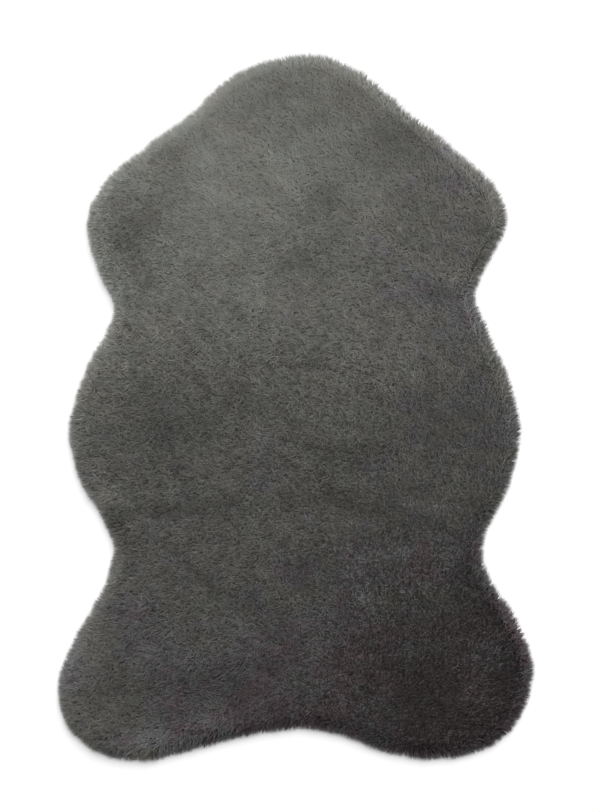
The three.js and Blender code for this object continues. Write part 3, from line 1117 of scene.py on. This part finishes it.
# %% Bands of the top
BANDS = [
    {"name": "pile_legs", "from": -1, "to": -0.24},
    {"name": "pile_hips", "from": -0.24, "to": -0.06},
    {"name": "pile_waist", "from": -0.06, "to": 0.11},
    {"name": "pile_shoulders", "from": 0.11, "to": 0.25},
    {"name": "pile_crown", "from": 0.25, "to": 1},
]
for band in BANDS:
    own = np.nonzero((spots[:, 1] >= band["from"]) & (spots[:, 1] < band["to"]))[0]
    lay_locks(band["name"], {name: top[name][own] for name in LOCK_COLUMNS})

# %% [markdown]
# ## Pile of the rim
# At the rim the pile rolls over the cut edge down to the floor, and its tips make the fuzzy outline. Twelve
# rows of locks climb the roll from the floor to the brow. The lowest lie flat and point straight out, long
# enough to hide the cloth. Going up, each row is shorter and follows the brushed nap more, so that the
# rim passes into the top. The outline wavers by a millimetre or two, and is fuzziest at the upper end.

# %% Rows of the rim
RIM_PITCH = 0.9
RIM_ANGLES = [0, 5, 10, 15, 21, 27, 34, 42, 51, 61, 72, 84]
RIM_NORMAL_REACH = 4
LOWEST_ROOT = 1.2
ANGLE_VARIES = 5
HEIGHT_SCATTER = 0.3
BROW_CURVE = 0.9
LEAST_FUZZY = 0.3
RIM_WAVES = [
    {"size": 20, "seed": 30, "share": 1.4},
    {"size": 7, "seed": 31, "share": 0.9},
]


def rim_roots(angle):
    """The roots of a row that lies at an angle up the roll, and what the other rules need to know of it."""
    loop = evenly(rim, RIM_PITCH * (1 + math.sin(math.radians(angle))) * MM)
    row = {"normal": normals_of(loop, RIM_NORMAL_REACH), "count": len(loop)}
    row["along"] = np.stack([-row["normal"][:, 1], row["normal"][:, 0]], axis=1)
    row["angle"] = np.radians(np.clip(angle + rng.normal(0, ANGLE_VARIES, row["count"]), 0, 90))
    row["side"] = np.cos(row["angle"])
    row["brow"] = np.sin(row["angle"]) ** BROW_CURVE
    row["fuzzy"] = LEAST_FUZZY + (1 - LEAST_FUZZY) * np.clip(row["normal"][:, 1], 0, 1)
    wave = np.zeros(row["count"])
    for part in RIM_WAVES:
        wave = wave + part["share"] * lattice_noise(loop, part["size"], part["size"], 0, part["seed"])
    inset = ROLL_INSET - (ROLL_INSET - BED_INSET) * row["side"]
    inset = inset - wave * row["side"] * (0.5 + row["fuzzy"])
    ground = loop - row["normal"] * (inset * MM)[:, None]
    ground += row["along"] * (rng.uniform(-0.5, 0.5, row["count"]) * RIM_PITCH * MM)[:, None]
    crest = pile_top(loop - row["normal"] * (ROLL_INSET * MM)) - (PILE_DEPTH + BED_BOTTOM) * MM
    height = BED_BOTTOM * MM + crest * np.sin(row["angle"])
    height = height + rng.normal(0, HEIGHT_SCATTER, row["count"]) * MM
    row["ground"] = ground
    row["height"] = np.maximum(height, LOWEST_ROOT * MM)
    return row


print("rows of the rim at", RIM_ANGLES, "degrees up the roll")

# %% Lean of the rim
RIM_LENGTH = 14.9
TOP_LENGTHS = (4, 12)
DROOP = -0.1
CLIMB_FROM, CLIMB_BY, CLIMB_CURVE = -4, 40, 1.2
CLUMP_RISE, LOCK_RISE, NAP_VARIES = 5, 8, 5
ALONG_SHARE = 0.45
CLUMP_TURN = 0.25
RIM_TURN = {"always": 0.22, "fuzzy": 0.14, "brow": 0.45}
LENGTH_VARIES = {"clump": 0.06, "lock": 0.10}


def rim_axis(row, clumps):
    """Which way each lock of a row points: out over the rim low down, with the nap higher up."""
    field, along, brow = row["field"], row["along"], row["brow"]
    climb = CLIMB_FROM + CLIMB_BY * np.sin(row["angle"]) ** CLIMB_CURVE
    rise_out = np.radians(climb + CLUMP_RISE * clumps + rng.normal(0, LOCK_RISE, row["count"]))
    share = 1 - (1 - BROW_SHARE) * brow
    lean = field["lean"] + field["rough"] * np.radians(rng.normal(0, NAP_VARIES, row["count"]))
    tilt = row["normal"] * (np.cos(rise_out) * share)[:, None]
    tilt += field["direction"] * (np.sin(lean) * (1 - share))[:, None]
    tilt += along * ((field["direction"] * along).sum(axis=1) * ALONG_SHARE * row["side"])[:, None]
    most_turn = RIM_TURN["always"] + RIM_TURN["fuzzy"] * row["fuzzy"] + RIM_TURN["brow"] * brow
    turn = CLUMP_TURN * clumps + rng.normal(0, 1, row["count"]) * most_turn
    lift = np.sin(rise_out) * share + np.cos(lean) * (1 - share)
    return unit(np.column_stack([turned(tilt, turn), lift]))


def rim_length(row, axis, clumps):
    """Long at the side, and as long as the top's locks at the brow."""
    level = (PILE_DEPTH + ROOT_SINK) / np.clip(axis[:, 2], 0.25, 1)
    length = RIM_LENGTH * (1 - row["brow"]) + np.clip(level, *TOP_LENGTHS) * row["brow"]
    varies = LENGTH_VARIES["clump"] * clumps + LENGTH_VARIES["lock"] * rng.normal(0, 1, row["count"])
    return length * (1 + varies * row["fuzzy"]) * MM


print("rim locks", RIM_LENGTH, "mm long at the side")

# %% Shade of the rim
# Painted glow on the rim's side, strongest where the rim faces this heading.
PAINTED_GLOW_HEADING = math.radians(20)
LOWEST_TIP = 0.6
PAINTED_SIDE_GLOW = {"always": 0.16, "towards": 0.68}
RIM_UNEVEN = {"clump": 0.10, "lock": 0.28}


def rim_shade(row, clumps):
    """The nap's painted light and shade, with a painted glow where thin hair lies over the side, most where
    the rim faces right, and painted shade at the brow where the rim faces away from the floor's light.
    """
    normal = row["normal"]
    towards = np.cos(np.arctan2(normal[:, 1], normal[:, 0]) - PAINTED_GLOW_HEADING)
    painted_glow = PAINTED_RIM_GLOW * (1 - PAINTED_OWN_SHADE * in_shade(normal) * row["brow"])
    painted_glow = painted_glow + row["side"] * (PAINTED_SIDE_GLOW["always"] + PAINTED_SIDE_GLOW["towards"] * np.clip(towards, 0, 1))
    uneven = RIM_UNEVEN["clump"] * clumps + RIM_UNEVEN["lock"] * rng.normal(0, 1, row["count"])
    rough = np.clip(row["field"]["rough"], *ROUGH_RANGE)
    return PLAIN * row["field"]["painted_shading"] * (1 + painted_glow) * (1 + rough * uneven)


def above_floor(axis, row, length):
    """Lifts a lock whose tip would go through the floor."""
    lowest = np.clip((LOWEST_TIP * MM - row["height"]) / length - DROOP, -1, 1)
    axis[:, 2] = np.maximum(axis[:, 2], lowest)
    return axis


print("the glow is strongest where the rim faces", round(math.degrees(PAINTED_GLOW_HEADING)), "degrees")

# %% Pile of the rim
RIM_WIDTH, BROW_WIDER, WIDTH_VARIES = 1.2, 0.45, 0.1
CLUMP_SIZE = 5
FACING_OUT = 0.05

rows = []
for number, angle in enumerate(RIM_ANGLES):
    row = rim_roots(angle)
    clumps = lattice_noise(row["ground"], CLUMP_SIZE, CLUMP_SIZE, 0, 20 + number)
    row["field"] = nap(row["ground"])
    rough = row["field"]["rough"]
    axis = rim_axis(row, clumps)
    length = rim_length(row, axis, clumps)
    flat_out = row["normal"] * row["side"][:, None] * FACING_OUT
    width = RIM_WIDTH + BROW_WIDER * row["brow"]
    rows.append(
        {
            "axis": above_floor(axis, row, length),
            "length": length,
            "bend": np.tile(np.array([0, 0, DROOP]), (row["count"], 1)),
            "width": (width + WIDTH_VARIES * rng.normal(0, 1, row["count"])) * MM,
            "root": np.column_stack([row["ground"], row["height"]]),
            "shade": rim_shade(row, clumps),
            "warm": warmth(row["ground"], row["field"]),
            "facing": np.column_stack([flat_out, np.ones(row["count"])]) * softness(rough)[:, None],
            "root_v": root_place(rough),
        }
    )
lay_locks("pile_rim", {name: np.concatenate([row[name] for row in rows]) for name in LOCK_COLUMNS})
